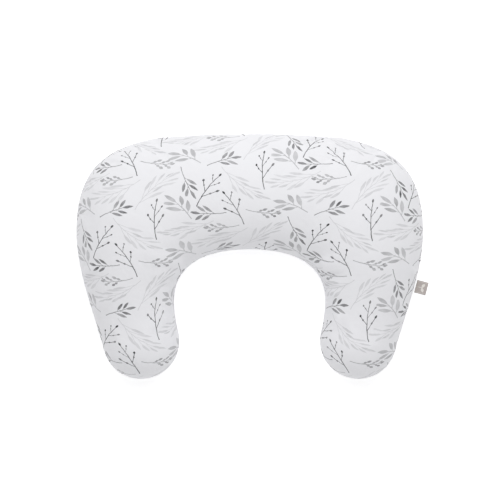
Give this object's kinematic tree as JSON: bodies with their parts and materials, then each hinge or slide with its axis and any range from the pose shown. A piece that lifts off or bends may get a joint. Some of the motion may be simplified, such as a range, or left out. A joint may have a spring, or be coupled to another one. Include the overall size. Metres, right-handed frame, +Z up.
{
  "type": "nursing pillow",
  "caption": "U-shaped fibre-filled nursing pillow in a printed zip-off cotton cover, with a folded side label; lies flat and wraps round the waist.",
  "frame": {"origin": "on the resting plane, under the middle of the back band; the row's symmetry plane but for the label and zip is x=0", "axes": "+X along the width, +Y from the opening towards the back edge, +Z up off the resting plane; the arms point to -Y"},
  "size_m": [0.5789, 0.4045, 0.15],
  "materials": {
    "cover_front": "soft matt cotton jersey, printed",
    "cover_back": "soft matt cotton jersey, printed",
    "thread_white": "spun polyester thread",
    "zip_tape": "woven tape",
    "zip_coil": "nylon coil",
    "zip_stop": "moulded",
    "zip_metal": "satin enamel",
    "label": "woven satin label",
    "care": "blank satin tape",
    "liner": "plain woven lining",
    "fill": "lofty polyester fibre"
  },
  "bodies": {
    "pillow": {"cover_front_panel": "cover_front", "cover_back_panel": "cover_back", "cover_seam_thread": "thread_white", "zip_tape_upper": "zip_tape", "zip_tape_lower": "zip_tape", "zip_coil_upper": "zip_coil", "zip_coil_lower": "zip_coil", "zip_top_stops": "zip_stop", "zip_bottom_stop": "zip_stop", "zip_stitching": "thread_white", "side_label_tail": "label", "care_label": "care", "liner_front_panel": "liner", "liner_back_panel": "liner", "liner_seam_thread": "thread_white", "fibre_fill": "fill"},
    "zip_slider": {"zip_slider": "zip_metal"},
    "zip_puller": {"zip_puller": "zip_metal"},
    "side_label": {"side_label": "label"}
  },
  "joints": [
    {"name": "zip_travel", "type": "slide", "parent": "pillow", "child": "zip_slider", "axis": [1, 0, 0], "range_m": [-0.208, 0], "deforming": ["zip_coil_upper", "zip_coil_lower"]},
    {"name": "puller_swing", "type": "hinge", "parent": "zip_slider", "child": "zip_puller", "pos_m": [0.10725, 0.09005, 0.0705], "axis": [0, 0, -1], "range_deg": [0, 175]},
    {"name": "label_flap", "type": "hinge", "parent": "pillow", "child": "side_label", "pos_m": [0.2725, -0.15626, 0.05564], "axis": [-0.2563, -0.9666, 0], "range_deg": [-85, 85], "stiffness_Nm_per_rad": 0.0003}
  ]
}
